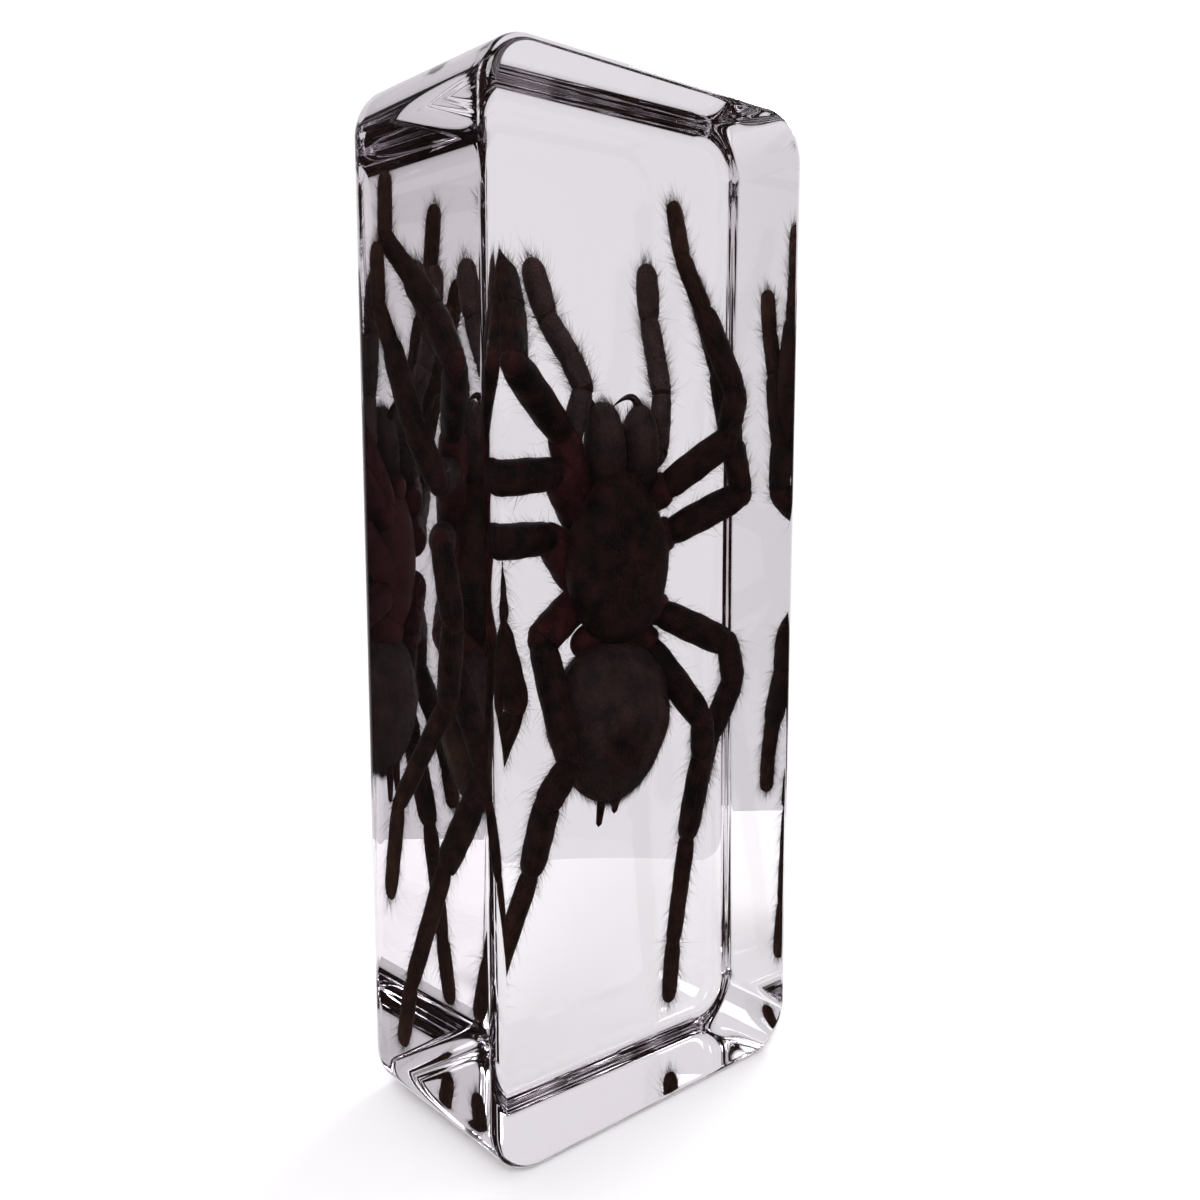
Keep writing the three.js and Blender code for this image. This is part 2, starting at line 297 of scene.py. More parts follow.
def cuticle_material(spider):
    """Chitin cuticle, dried and covered with short down: near black, brown on its feet and reddish
    where soft skin shows, with a dull grain of hair sockets and a soft edge sheen."""
    material, tree, output = new_material("chitin_cuticle_dried")
    place = add_node(tree, "ShaderNodeTexCoord").outputs["Object"]
    blotch = add_node(tree, "ShaderNodeTexNoise", {
        "Scale": pattern_scale(BLOTCH_WIDTH), "Detail": 4,
    }, {"Vector": place})
    grain = add_node(tree, "ShaderNodeTexNoise", {
        "Scale": pattern_scale(SOCKET_WIDTH), "Detail": 3,
    }, {"Vector": place})
    patch = add_node(tree, "ShaderNodeMapRange", {1: 0.35, 2: 0.7}, {0: blotch.outputs["Fac"]})
    base = add_node(tree, "ShaderNodeMix", {
        "data_type": "RGBA", 6: tuple(spider.dark), 7: tuple(spider.brown),
    }, {0: patch.outputs[0]})
    wear = add_node(tree, "ShaderNodeMapRange", {
        1: 0.35, 2: 0.65, 3: 0.55, 4: 1.1,
    }, {0: blotch.outputs["Fac"]})
    for name in MARKS:
        share = add_node(tree, "ShaderNodeAttribute", {"attribute_name": name}).outputs["Fac"]
        worn = add_node(tree, "ShaderNodeMath", {
            "operation": "MULTIPLY", "use_clamp": True,
        }, {0: share, 1: wear.outputs[0]})
        base = add_node(tree, "ShaderNodeMix", {
            "data_type": "RGBA", 7: tuple(getattr(spider, name)),
        }, {0: worn.outputs[0], 6: base.outputs[2]})
    speckle = add_node(tree, "ShaderNodeMapRange", {
        1: 0.3, 2: 0.7, 3: 0.7, 4: 1.25,
    }, {0: grain.outputs["Fac"]})
    tone = add_node(tree, "ShaderNodeMix", {
        "data_type": "RGBA", "blend_type": "MULTIPLY", 0: 1.0,
    }, {6: base.outputs[2], 7: speckle.outputs[0]})
    gloss = add_node(tree, "ShaderNodeMapRange", {3: 0.42, 4: 0.7}, {0: blotch.outputs["Fac"]})
    relief = add_node(tree, "ShaderNodeBump", {
        "Strength": 0.5, "Distance": SOCKET_DEPTH * MM,
    }, {"Height": grain.outputs["Fac"]})
    shader = add_node(tree, "ShaderNodeBsdfPrincipled", {
        "Specular IOR Level": 0.04,
        "Sheen Weight": 0.015,
        "Sheen Roughness": 0.5,
        "Sheen Tint": linear("#8a6a58"),
    }, {"Base Color": tone.outputs[2], "Roughness": gloss.outputs[0], "Normal": relief.outputs["Normal"]})
    tree.links.new(shader.outputs["BSDF"], output.inputs["Surface"])
    return material


def hard_chitin_material():
    """Chitin hardened in fangs and eyes: smooth, glossy and black with a red brown depth."""
    material, tree, output = new_material("chitin_hardened_glossy")
    place = add_node(tree, "ShaderNodeTexCoord").outputs["Object"]
    cloud = add_node(tree, "ShaderNodeTexNoise", {
        "Scale": pattern_scale(CLOUD_WIDTH), "Detail": 2,
    }, {"Vector": place})
    base = add_node(tree, "ShaderNodeMix", {
        "data_type": "RGBA", 6: linear("#0b0605"), 7: linear("#2a100c"),
    }, {0: cloud.outputs["Fac"]})
    shader = add_node(tree, "ShaderNodeBsdfPrincipled", {
        "Roughness": 0.22, "Specular IOR Level": 0.12,
    }, {"Base Color": base.outputs[2]})
    tree.links.new(shader.outputs["BSDF"], output.inputs["Surface"])
    return material


def hair_material(spider):
    """Setae, the spider's stiff hair: dark at the root, and a lighter brown at the thin tip that is
    painted backlight, standing for light that passes the tip.
    """
    material, tree, output = new_material("setae_dried")
    tip = add_node(tree, "ShaderNodeAttribute", {"attribute_name": "tip"}).outputs["Fac"]
    # Painted backlight: the mix lightens each hair towards its tip, standing for light that passes its
    # thin end
    base = add_node(tree, "ShaderNodeMix", {
        "data_type": "RGBA", 6: tuple(spider.hair_root), 7: tuple(spider.hair_tip),
    }, {0: tip})
    shader = add_node(tree, "ShaderNodeBsdfPrincipled", {
        "Roughness": 0.5, "Specular IOR Level": 0.04,
    }, {"Base Color": base.outputs[2]})
    tree.links.new(shader.outputs["BSDF"], output.inputs["Surface"])
    return material


def floor_material(stage):
    """Matt white board: pale and even, with no gloss."""
    material, tree, output = new_material("white_board_matt")
    shader = add_node(tree, "ShaderNodeBsdfPrincipled", {
        "Base Color": tuple(stage.floor), "Roughness": 0.9, "Specular IOR Level": 0.1,
    })
    tree.links.new(shader.outputs["BSDF"], output.inputs["Surface"])
    return material


# Surfaces: a skin is its points, its faces and values at its points for the material

def skin_faces(rows, columns):
    """Four-sided faces between the rows of a grid that closes on itself across its columns, and
    three-sided ones from its first and last rows to the two poles that follow the grid's points."""
    row = np.arange(rows - 1)[:, None] * columns
    column = np.arange(columns)[None, :]
    following = (column + 1) % columns
    quads = np.stack([
        row + column, row + following, row + columns + following, row + columns + column,
    ], axis=-1)
    pole = np.full(columns, rows * columns)
    last = (rows - 1) * columns
    start = np.stack([pole, following[0], column[0]], axis=-1)
    end = np.stack([last + column[0], last + following[0], pole + 1], axis=-1)
    return quads.reshape(-1, 4), np.concatenate([start, end])


def outward(points, quads, triangles):
    """Turns all faces round if the volume that they enclose comes out negative."""
    halves = np.concatenate([quads[:, [0, 1, 2]], quads[:, [0, 2, 3]], triangles])
    a, b, c = (points[halves[:, i]] for i in range(3))
    if np.einsum("ij,ij->", a - points[0], np.cross(b - points[0], c - points[0])) < 0:
        return quads[:, ::-1], triangles[:, ::-1]
    return quads, triangles


def skin(grid, start, end, **values):
    """A closed skin from a grid of points in rows, with a pole before its first and after its last row."""
    rows, columns, _ = grid.shape
    points = np.concatenate([grid.reshape(-1, 3), [start], [end]])
    quads, triangles = outward(points, *skin_faces(rows, columns))
    marks = {}
    for name in MARKS:
        value = np.broadcast_to(values.get(name, 0.0), (rows, columns))
        marks[name] = np.concatenate([value.ravel(), [value[0].mean()], [value[-1].mean()]])
    return {"points": points, "quads": quads, "triangles": triangles, "marks": marks, "grid": grid}


def joined(skins):
    """Several skins as one, with their point numbers moved on."""
    offsets = np.cumsum([0] + [len(part["points"]) for part in skins[:-1]])
    together = {
        key: np.concatenate([part[key] + offset for part, offset in zip(skins, offsets)])
        for key in ("quads", "triangles")
    }
    together["points"] = np.concatenate([part["points"] for part in skins])
    names = skins[0]["marks"]
    together["marks"] = {name: np.concatenate([part["marks"][name] for part in skins]) for name in names}
    return together


def add_piece(name, form, material, nodes):
    """Puts a skin into a mesh object that rides on the part's body and stands for its CAD nodes."""
    mesh = bpy.data.meshes.new(name)
    faces = [form["quads"], form["triangles"]]
    corners = np.concatenate([face.ravel() for face in faces])
    sizes = np.concatenate([np.full(len(face), face.shape[1]) for face in faces])
    mesh.vertices.add(len(form["points"]))
    mesh.vertices.foreach_set("co", np.ravel(form["points"]).astype(np.float32))
    mesh.loops.add(len(corners))
    mesh.loops.foreach_set("vertex_index", corners.astype(np.int32))
    mesh.polygons.add(len(sizes))
    mesh.polygons.foreach_set("loop_start", (np.cumsum(sizes) - sizes).astype(np.int32))
    mesh.polygons.foreach_set("use_smooth", np.ones(len(sizes), dtype=bool))
    for mark, value in form["marks"].items():
        mesh.attributes.new(mark, "FLOAT", "POINT").data.foreach_set("value", value.astype(np.float32))
    mesh.update(calc_edges=True)
    mesh.validate()
    if "normals" in form:
        mesh.normals_split_custom_set_from_vertices(form["normals"])
    mesh.materials.append(material)
    piece = bpy.data.objects.new(name, mesh)
    bpy.context.collection.objects.link(piece)
    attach(piece, "root")
    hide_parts(*nodes)
    return piece


def material_named(name, make, *args):
    """The material of this name, made on its first use."""
    return bpy.data.materials.get(name) or make(*args)


# The cast block

RIM_STEPS = 14
CORNER_STEPS = 20


def block_skin(block):
    """The outline is a rectangle with round corners: each corner's middle plus its radius times the
    outward direction. From the front face's middle the profile goes out to the rim, round a quarter
    circle, straight back along the side, round the other rim and in to the back face's middle. On a
    rim the outline shrinks by the rim radius times one minus the sine of the turn."""
    turn = np.linspace(0, np.pi / 2, CORNER_STEPS + 1)
    around = np.concatenate([turn + quarter * np.pi / 2 for quarter in range(4)])
    out = np.stack([np.cos(around), np.zeros_like(around), np.sin(around)], axis=-1)
    side = block.width / 2 - block.corner
    top = block.height - block.corner
    middle = np.zeros_like(out)
    middle[:, 0] = np.repeat([side, -side, -side, side], len(turn))
    middle[:, 2] = np.repeat([top, top, block.corner, block.corner], len(turn))
    roll = np.linspace(0, np.pi / 2, RIM_STEPS + 1)
    back = roll[::-1]
    insets = np.concatenate([block.rim_front * (1 - np.sin(roll)), block.rim_back * (1 - np.sin(back))])
    depths = np.concatenate([
        block.rim_front * (1 - np.cos(roll)) - block.depth / 2,
        block.depth / 2 - block.rim_back * (1 - np.cos(back)),
    ])
    facing = np.concatenate([-np.cos(roll), np.cos(back)])
    grid = middle[None] + (block.corner - insets)[:, None, None] * out[None]
    grid[:, :, 1] = depths[:, None]
    normals = np.sqrt(1 - facing ** 2)[:, None, None] * out[None]
    normals[:, :, 1] = facing[:, None]
    front = np.array([0, -block.depth / 2, block.height / 2])
    form = skin(grid, front, front * [1, -1, 1])
    form["normals"] = np.concatenate([normals.reshape(-1, 3), [[0, -1, 0]], [[0, 1, 0]]])
    return form


# Limbs: END_REACH is how far a segment runs past its joints, in radii, and the ring is a narrow
# band of soft skin at each end, placed by its share of the half length

SEGMENT_ROWS = 26
SEGMENT_SIDES = 26
JOINT_ROWS = 9
JOINT_SIDES = 18
JOINT_SIZE = 0.88
END_REACH = 0.36
END_POWER = 9
DORSAL = np.array([0.0, -1.0, 0.0])
RING_PLACE = 0.88
RING_WIDTH = 0.03
RING_SOFTNESS = 0.12
MEMBRANE_SHARE = 0.2
COXA_SOFTNESS = 0.4
LEG_FOOT_TAN = 0.7
PALP_FOOT_TAN = 0.3
PALP_DOWN = 0.85


def across_of(direction):
    """Two directions across a line: towards the spider's back, and sideways."""
    back = unit(DORSAL - direction * (direction @ DORSAL))
    return back, np.cross(direction, back)


def segment_skin(start, end, radius, shape, tan, soft, down):
    """A limb segment: rings round the line from one joint to the next, which runs on past both
    joints by a share of the radius. The radius follows its shape and closes to both ends as the
    square root of 1 - |2u - 1|^9, and a slight ripple keeps it from looking turned."""
    line = end - start
    direction = unit(line)
    back, beside = across_of(direction)
    step = np.linspace(0, 1, SEGMENT_ROWS + 2)[1:-1]
    along = (1 - np.cos(np.pi * step)) / 2
    around = np.linspace(0, 2 * np.pi, SEGMENT_SIDES, endpoint=False)
    past = END_REACH * radius
    span = np.linalg.norm(line) + 2 * past
    middle = start - past * direction + (span * along)[:, None] * direction
    width = radius * np.interp(along, SHAPE_STEPS, shape) * (1 - np.abs(2 * along - 1) ** END_POWER) ** 0.5
    ripple = (
        1 + 0.02 * np.sin(3 * around[None] + 7 * along[:, None] * np.pi)
        + 0.03 * np.cos(2 * around[None])
    )
    wide = width[:, None] * ripple
    grid = middle[:, None] + wide[..., None] * (
        np.cos(around)[None, :, None] * back + np.sin(around)[None, :, None] * beside
    )
    ring = np.exp(-((np.abs(2 * along - 1) - RING_PLACE) / RING_WIDTH) ** 2)
    return skin(
        grid, start - past * direction, end + past * direction,
        membrane=(soft + RING_SOFTNESS * ring)[:, None],
        down=down,
        tan=(tan[0] + (tan[1] - tan[0]) * along)[:, None],
    )


def ball_skin(middle, half, tan=0.0, membrane=0.0, rows=JOINT_ROWS, columns=JOINT_SIDES):
    """An ellipsoid: rows of latitude from its lowest to its highest point."""
    rise = np.linspace(-np.pi / 2, np.pi / 2, rows + 2)[1:-1]
    around = np.linspace(0, 2 * np.pi, columns, endpoint=False)
    middle = np.array(middle)
    half = np.array(half) * np.ones(3)
    grid = np.stack([
        np.cos(rise)[:, None] * np.cos(around)[None],
        np.cos(rise)[:, None] * np.sin(around)[None],
        np.sin(rise)[:, None] * np.ones_like(around)[None],
    ], axis=-1)
    up = np.array([0, 0, half[2]])
    return skin(middle + grid * half, middle - up, middle + up, membrane=membrane, tan=tan)


def limb_skins(name):
    """A limb's segments from the body to the tip, and the soft skin that fills each bend."""
    joints = np.array(LIMB_JOINTS[name]) * MM
    leg = name.startswith("leg")
    radii = np.array(LEG_RADII if leg else PALP_RADII) * MM
    shapes = LEG_SHAPES if leg else PALP_SHAPES
    count = len(radii)
    along = np.arange(count + 1) / count
    feet = (LEG_FOOT_TAN if leg else PALP_FOOT_TAN) * np.clip(2 * along - 1, 0, 1) ** 2
    down = 0.0 if leg else PALP_DOWN
    segments = [
        segment_skin(
            joints[i], joints[i + 1], radii[i], shapes[i], feet[i:i + 2],
            COXA_SOFTNESS if i == 0 else 0.0, down,
        )
        for i in range(count)
    ]
    bends = [
        ball_skin(joints[i + 1], JOINT_SIZE * min(radii[i], radii[i + 1]), feet[i + 1], MEMBRANE_SHARE)
        for i in range(count - 1)
    ]
    return segments, bends


# Body: the carapace's furrows by their angles from the middle, and its rises and dips in millimetres

FURROW_ANGLES = (28, 152, -15, 195, -52, 232)
FURROW_WIDTH = 0.11
FURROW_DEPTH = 0.22
PIT_DEPTH = 0.8
HEAD_RISE = 0.45
MOUND_RISE = 0.6
MOUND_PLACE = 0.86
BACK_DIP = 0.4
EYE_HEIGHT = 2.5
EYE_FALL = 0.4
DENT_PLACES = (4.4, 1.2, -2.0)
DENT_DEPTH = 0.28
TAPER_BASE = 0.3
TAPER_SIDE = np.array([0.2, 0.1, 0.97])
SPINNERET_SOFTNESS = 0.25


def carapace_skin():
    """From the middle of the back the rows go out to the rim and under to the belly: the share of the
    half width is the sine, and the height the cosine, of the angle from the back. The head end is
    narrower and stands higher, six furrows run out from a pit in the middle, and the eyes' mound
    lies just behind the front rim."""
    middle, half = (np.array(value) * MM for value in CARAPACE)
    rows, columns = 56, 96
    fall = np.linspace(0, np.pi, rows + 2)[1:-1][:, None]
    around = np.linspace(0, 2 * np.pi, columns, endpoint=False)[None]
    share = np.sin(fall) ** 0.85
    head = np.clip(np.sin(around), 0, 1)
    x = half[0] * share * np.cos(around) * (1 - 0.26 * head ** 1.5 * share)
    z = half[2] * share * np.sin(around)
    top = np.cos(fall)
    lift = np.where(top > 0, half[1] * np.abs(top) ** 0.75, -0.75 * half[1] * np.abs(top) ** 0.8)
    furrows = sum(
        np.exp(-((np.angle(np.exp(1j * (around - math.radians(angle)))) / FURROW_WIDTH) ** 2))
        for angle in FURROW_ANGLES
    )
    upper = np.clip(top, 0, 1)
    lift = lift - FURROW_DEPTH * MM * furrows * np.sin(np.pi * share) * (top > 0)
    pit = np.exp(-((x / (1.3 * MM)) ** 2) - ((z + 0.12 * half[2]) / (0.5 * MM)) ** 2)
    dome = np.exp(-((x / (3.2 * MM)) ** 2) - ((z - 0.45 * half[2]) / (3.4 * MM)) ** 2)
    mound = np.exp(-((x / (1.0 * MM)) ** 2) - ((z - MOUND_PLACE * half[2]) / (0.8 * MM)) ** 2)
    lift = lift + upper * MM * (HEAD_RISE * dome - PIT_DEPTH * pit)
    lift = lift + MOUND_RISE * MM * mound * (top > 0) - BACK_DIP * MM * upper
    grid = np.stack([middle[0] + x, middle[1] - lift, middle[2] + z + 0 * x], axis=-1)
    edge = np.clip(1 - np.abs(fall - 0.55 * np.pi) / 0.35, 0, 1)
    start = middle - [0, float(lift[0].mean()), 0]
    end = middle - [0, float(lift[-1].mean()), 0]
    return skin(grid, start, end, membrane=0.2 * edge + 0 * around)


def eyes_skins():
    """Eight small domes on the mound near the front rim: two rows of four."""
    middle, half = (np.array(value) * MM for value in CARAPACE)
    level = middle[1] - EYE_HEIGHT * MM
    mound = middle[2] + MOUND_PLACE * half[2]
    return [
        ball_skin([middle[0] + x * MM, level + EYE_FALL * MM * x * x, mound + z * MM], size * MM)
        for x, z, size in EYES
    ]


def sternum_skins():
    """The breast plate and lip under the body, and the waist that carries the abdomen."""
    masses = (
        (STERNUM, 0.1, 0.45, 30, 48),
        (LIP, 0.1, 0.4, 16, 24),
        (PEDICEL, 0.0, 0.5, 16, 32),
    )
    return [
        ball_skin(np.array(middle) * MM, np.array(half) * MM, tan, membrane, rows, columns)
        for (middle, half), tan, membrane, rows, columns in masses
    ]


def abdomen_skin():
    """An egg that narrows to the rear: rows of latitude from the waist, whose half width is the sine
    of the angle. Shallow folds and two rows of dents come from its drying. Short grey down covers it
    but for a bare patch on the back, and its flanks and rear are tan."""
    middle, half = (np.array(value) * MM for value in ABDOMEN)
    rows, columns = 64, 96
    fall = np.linspace(0, np.pi, rows + 2)[1:-1][:, None]
    around = np.linspace(0, 2 * np.pi, columns, endpoint=False)[None]
    girth = np.sin(fall) ** 0.92 * (1 - 0.2 * np.clip(-np.cos(fall), 0, 1))
    fold = (
        0.012 * np.sin(9 * fall + 1.5 * np.sin(2 * around)) * np.sin(fall)
        + 0.010 * np.sin(5 * around + 3 * np.sin(2.2 * fall))
        + 0.008 * np.sin(13 * around - 6 * fall)
    )
    x = half[0] * girth * np.cos(around) * (0.975 + fold)
    y = half[1] * girth * np.sin(around) * (0.965 + fold)
    z = half[2] * np.cos(fall) * (0.985 + 0.4 * fold)
    back = np.clip(-np.sin(around), 0, 1)
    dents = sum(
        np.exp(-((np.abs(x) - 2.3 * MM) / (0.7 * MM)) ** 2 - ((z - place * MM) / (0.8 * MM)) ** 2)
        for place in DENT_PLACES
    )
    y = y + DENT_DEPTH * MM * dents * back
    grid = np.stack([middle[0] + x, middle[1] + y, middle[2] + z + 0 * x], axis=-1)
    waist = np.clip(1 - fall / 0.5, 0, 1)
    bare = np.exp(-((x / (3.4 * MM)) ** 4) - ((z + 3.2 * MM) / (3.6 * MM)) ** 4) * (y < 0)
    flank = np.clip((np.abs(x) / half[0] - 0.5) / 0.35, 0, 1) * np.clip((2 * MM - z) / (5 * MM), 0, 1)
    return skin(
        grid, middle + [0, 0, half[2] * 0.985], middle - [0, 0, half[2] * 0.985],
        membrane=0.4 * waist + 0 * around, down=0.45 * (1 - bare), tan=0.9 * flank,
    )


def chelicera_skin(side):
    """A jaw: an upright egg that is fuller at its root, hollowed along its inner edge, and leans
    outward towards its end."""
    middle, half = (np.array(value) * MM for value in CHELICERAE[side])
    rows, columns = 40, 48
    rise = np.linspace(0, np.pi, rows + 2)[1:-1][:, None]
    around = np.linspace(0, 2 * np.pi, columns, endpoint=False)[None]
    girth = np.sin(rise) ** 0.75 * (1 + 0.08 * np.cos(rise))
    groove = 1 - 0.05 * np.exp(-((np.sin(around) - 0.9) / 0.3) ** 2) * np.sin(rise) ** 2
    z = -half[2] * np.cos(rise)
    lean = CHELICERA_LEAN[side]
    x = half[0] * girth * np.cos(around) * groove + lean * z
    y = half[1] * girth * np.sin(around) * groove
    grid = np.stack([middle[0] + x, middle[1] + y, middle[2] + z + 0 * x], axis=-1)
    root, end = ([lean * rise_end, 0, rise_end] for rise_end in (-half[2], half[2]))
    return skin(grid, middle + root, middle + end, down=0.35 - 0.45 * np.cos(rise) + 0 * around)


def taper_skin(joints, radii, rows=30, columns=18, membrane=0.0):
    """A horn: a circle carried along the quadratic curve through three joints, its radius going
    smoothly from the base's over the middle's to the tip's."""
    first, second, third = (np.array(joint) * MM for joint in joints)
    control = 2 * second - (first + third) / 2
    share = np.linspace(0, 1, rows)[:, None]
    middle = (1 - share) ** 2 * first + 2 * share * (1 - share) * control + share ** 2 * third
    direction = unit(2 * (1 - share) * (control - first) + 2 * share * (third - control))
    sideways = unit(np.cross(direction, TAPER_SIDE))
    upright = np.cross(direction, sideways)
    around = np.linspace(0, 2 * np.pi, columns, endpoint=False)[None, :, None]
    width = np.interp(share[:, 0], [0, 0.5, 1], radii)[:, None, None] * MM
    ring = np.cos(around) * sideways[:, None] + np.sin(around) * upright[:, None]
    grid = middle[:, None] + width * ring
    tip = third + direction[-1] * radii[-1] * MM
    return skin(grid, first - direction[0] * TAPER_BASE * MM, tip, membrane=membrane)


# Hair: the faces of one spike, and the number of hairs on each segment or body mass

HAIR_FACES = np.array([
    [0, 1, 4], [0, 4, 3], [1, 2, 5], [1, 5, 4], [2, 0, 3],
    [2, 3, 5], [3, 4, 6], [4, 5, 6], [5, 3, 6], [0, 2, 1],
])
HAIR_SIDE = np.array([0.31, 0.52, 0.79])
WALL_MARGIN = 0.35 * MM
UPPER_SEGMENTS = 2
UPPER_HAIRS = 260
LOWER_HAIRS = 420
LONG_HAIRS = 50
ABDOMEN_HAIRS = 5200
CARAPACE_HAIRS = 2600
JAW_HAIRS = 1300


def skin_frame(grid):
    """Outward normals and directions along the rows of a skin's grid, from its differences."""
    along = np.gradient(grid, axis=0)
    across = np.roll(grid, -1, axis=1) - np.roll(grid, 1, axis=1)
    normals = unit(np.cross(along, across))
    outside = grid - grid.mean(axis=(0, 1))
    return normals * np.sign(np.sum(normals * outside)), unit(along)


def scatter(form, count, draw, low=0.0, high=1.0):
    """Random places on a skin between two shares of its rows: points, normals and row directions."""
    grid = form["grid"]
    normals, along = skin_frame(grid)
    row = (low + (high - low) * draw.random(count)) * (grid.shape[0] - 1)
    column = draw.random(count) * grid.shape[1]
    r0 = np.minimum(row.astype(int), grid.shape[0] - 2)
    c0 = column.astype(int) % grid.shape[1]
    c1 = (c0 + 1) % grid.shape[1]
    a = (row - r0)[:, None]
    b = (column - column.astype(int))[:, None]
    places = (
        (1 - a) * ((1 - b) * grid[r0, c0] + b * grid[r0, c1])
        + a * ((1 - b) * grid[r0 + 1, c0] + b * grid[r0 + 1, c1])
    )
    return places, normals[r0, c0], along[r0, c0]


def hair_skin(roots, leans, curls, lengths, width):
    """Three-sided spikes. A hair's middle line is its root plus its length times (t lean + t squared
    curl) for t from 0 to 1, and its radius falls evenly to nothing at the tip. The tips stay inside
    the block's walls."""
    across = unit(np.cross(leans, HAIR_SIDE))
    beside = np.cross(leans, across)
    share = np.array([0, 0.5])[None, :, None]
    lengths = lengths[:, None, None]
    middle = roots[:, None] + lengths * (share * leans[:, None] + share ** 2 * curls[:, None])
    around = np.array([0, 2, 4]) * np.pi / 3
    ring = (
        np.cos(around)[None, :, None] * across[:, None] + np.sin(around)[None, :, None] * beside[:, None]
    )
    radius = 0.5 * width * (1 - share)
    rings = middle[:, :, None] + radius[..., None] * ring[:, None]
    tips = roots + lengths[:, 0] * (leans + curls)
    points = np.concatenate([rings.reshape(-1, 6, 3), tips[:, None]], axis=1)
    points = np.clip(points, LOW + WALL_MARGIN, HIGH - WALL_MARGIN)
    faces = HAIR_FACES[None] + 7 * np.arange(len(roots))[:, None, None]
    tone = np.tile([0, 0, 0, 0.5, 0.5, 0.5, 1.0], len(roots))
    return {
        "points": points.reshape(-1, 3),
        "quads": np.zeros((0, 4), dtype=int),
        "triangles": faces.reshape(-1, 3),
        "marks": {"tip": tone},
    }


def coat(form, count, size, draw, width, lie=0.9, low=0.0, high=1.0, swirl=0.25):
    """Hair on a skin: each hair leans from the normal along the rows, more with lie, with a random
    swirl, and its length varies from half to twice its usual size, a few being longer still."""
    places, normals, along = scatter(form, count, draw, low, high)
    noise = draw.normal(size=(count, 3)) * swirl
    leans = unit(normals + lie * along + noise)
    curls = 0.35 * along - 0.1 * normals + 0.15 * draw.normal(size=(count, 3))
    lengths = size * np.exp(0.35 * draw.normal(size=count))
    return hair_skin(places, leans, curls, lengths, width)


# Operators

class SPECIMEN_OT_resin_block(bpy.types.Operator):
    """Pours the clear block"""

    bl_idname = "specimen.resin_block"
    bl_label = "Resin block"

    def execute(self, context):
        block = context.scene.specimen_block
        material = resin_material(block)
        add_piece("resin_block", block_skin(block), material, BLOCK_NODES)
        return {"FINISHED"}


class SPECIMEN_OT_body(bpy.types.Operator):
    """Makes the carapace with its eyes, the breast plate, abdomen, jaws and spinnerets"""

    bl_idname = "specimen.body"
    bl_label = "Body"

    def execute(self, context):
        spider = context.scene.specimen_spider
        cuticle = material_named("chitin_cuticle_dried", cuticle_material, spider)
        hard = material_named("chitin_hardened_glossy", hard_chitin_material)
        forms = {
            "carapace": (carapace_skin(), cuticle),
            "eyes": (joined(eyes_skins()), hard),
            "breast_plate": (joined(sternum_skins()), cuticle),
            "abdomen": (abdomen_skin(), cuticle),
            "jaws": (joined([chelicera_skin(side) for side in CHELICERAE]), cuticle),
            "fangs": (joined([taper_skin(joints, FANG_RADII) for joints in FANG_JOINTS.values()]), hard),
            "spinnerets": (
                joined([
                    taper_skin(joints, SPINNERET_RADII, membrane=SPINNERET_SOFTNESS)
                    for joints in SPINNERET_JOINTS.values()
                ]),
                cuticle,
            ),
        }
        for name, (form, material) in forms.items():
            add_piece(name, form, material, [BODY_NODE])
        return {"FINISHED"}


class SPECIMEN_OT_limbs(bpy.types.Operator):
    """Makes the eight legs and two palps"""

    bl_idname = "specimen.limbs"
    bl_label = "Legs and palps"

    def execute(self, context):
        spider = context.scene.specimen_spider
        cuticle = material_named("chitin_cuticle_dried", cuticle_material, spider)
        for name in LIMB_JOINTS:
            segments, bends = limb_skins(name)
            add_piece(name, joined(segments + bends), cuticle, [BODY_NODE])
        return {"FINISHED"}


class SPECIMEN_OT_hair(bpy.types.Operator):
    """Grows the hair of the legs, palps and body"""

    bl_idname = "specimen.hair"
    bl_label = "Hair"

    def execute(self, context):
        spider = context.scene.specimen_spider
        draw = np.random.default_rng(spider.seed)
        hair = material_named("setae_dried", hair_material, spider)
        width = spider.hair_width
        for side in ("left", "right"):
            limbs = []
            for name in (limb for limb in LIMB_JOINTS if limb.endswith(side)):
                for i, segment in enumerate(limb_skins(name)[0]):
                    upper = i < UPPER_SEGMENTS
                    size = spider.leg_hair * (0.7 if upper else 1.0)
                    limbs.append(coat(segment, UPPER_HAIRS if upper else LOWER_HAIRS, size, draw, width))
                    limbs.append(coat(segment, LONG_HAIRS, 1.7 * size, draw, width, lie=0.7))
            add_piece(f"{side}_limb_hair", joined(limbs), hair, [BODY_NODE])
        body = [
            coat(abdomen_skin(), ABDOMEN_HAIRS, spider.body_hair, draw, width, lie=1.2),
            coat(
                carapace_skin(), CARAPACE_HAIRS, 0.6 * spider.body_hair, draw, width,
                lie=1.0, low=0.05, high=0.6,
            ),
        ]
        body += [
            coat(chelicera_skin(side), JAW_HAIRS, spider.body_hair, draw, width, lie=1.1)
            for side in CHELICERAE
        ]
        add_piece("body_hair", joined(body), hair, [BODY_NODE])
        return {"FINISHED"}


# Brightness of the studio: the white that the eye sees round the block, and what shows through
# the block and in its faces
SURROUND = 1.06
BACKDROP = 0.86
ROOM = 0.66
SIDE_FLAG = 0.02

# Soft boxes: place and diameter in metres, and power in watts
SOFT_BOXES = {
    "key": ((-0.5, -0.5, 0.7), 0.5, 5.0),
    "fill": ((0.7, 0.2, 0.6), 0.4, 3.2),
}
LIT_POINT = np.array([0, 0, 0.05])
LIGHT_BOUNCES = 64
FLOOR_RINGS = [0.2, 0.4, 0.6, 0.8, 1]
FLOOR_SIDES = 96
FLOOR_GAP = 0.02 * MM
FRAME_WIDTH = 36


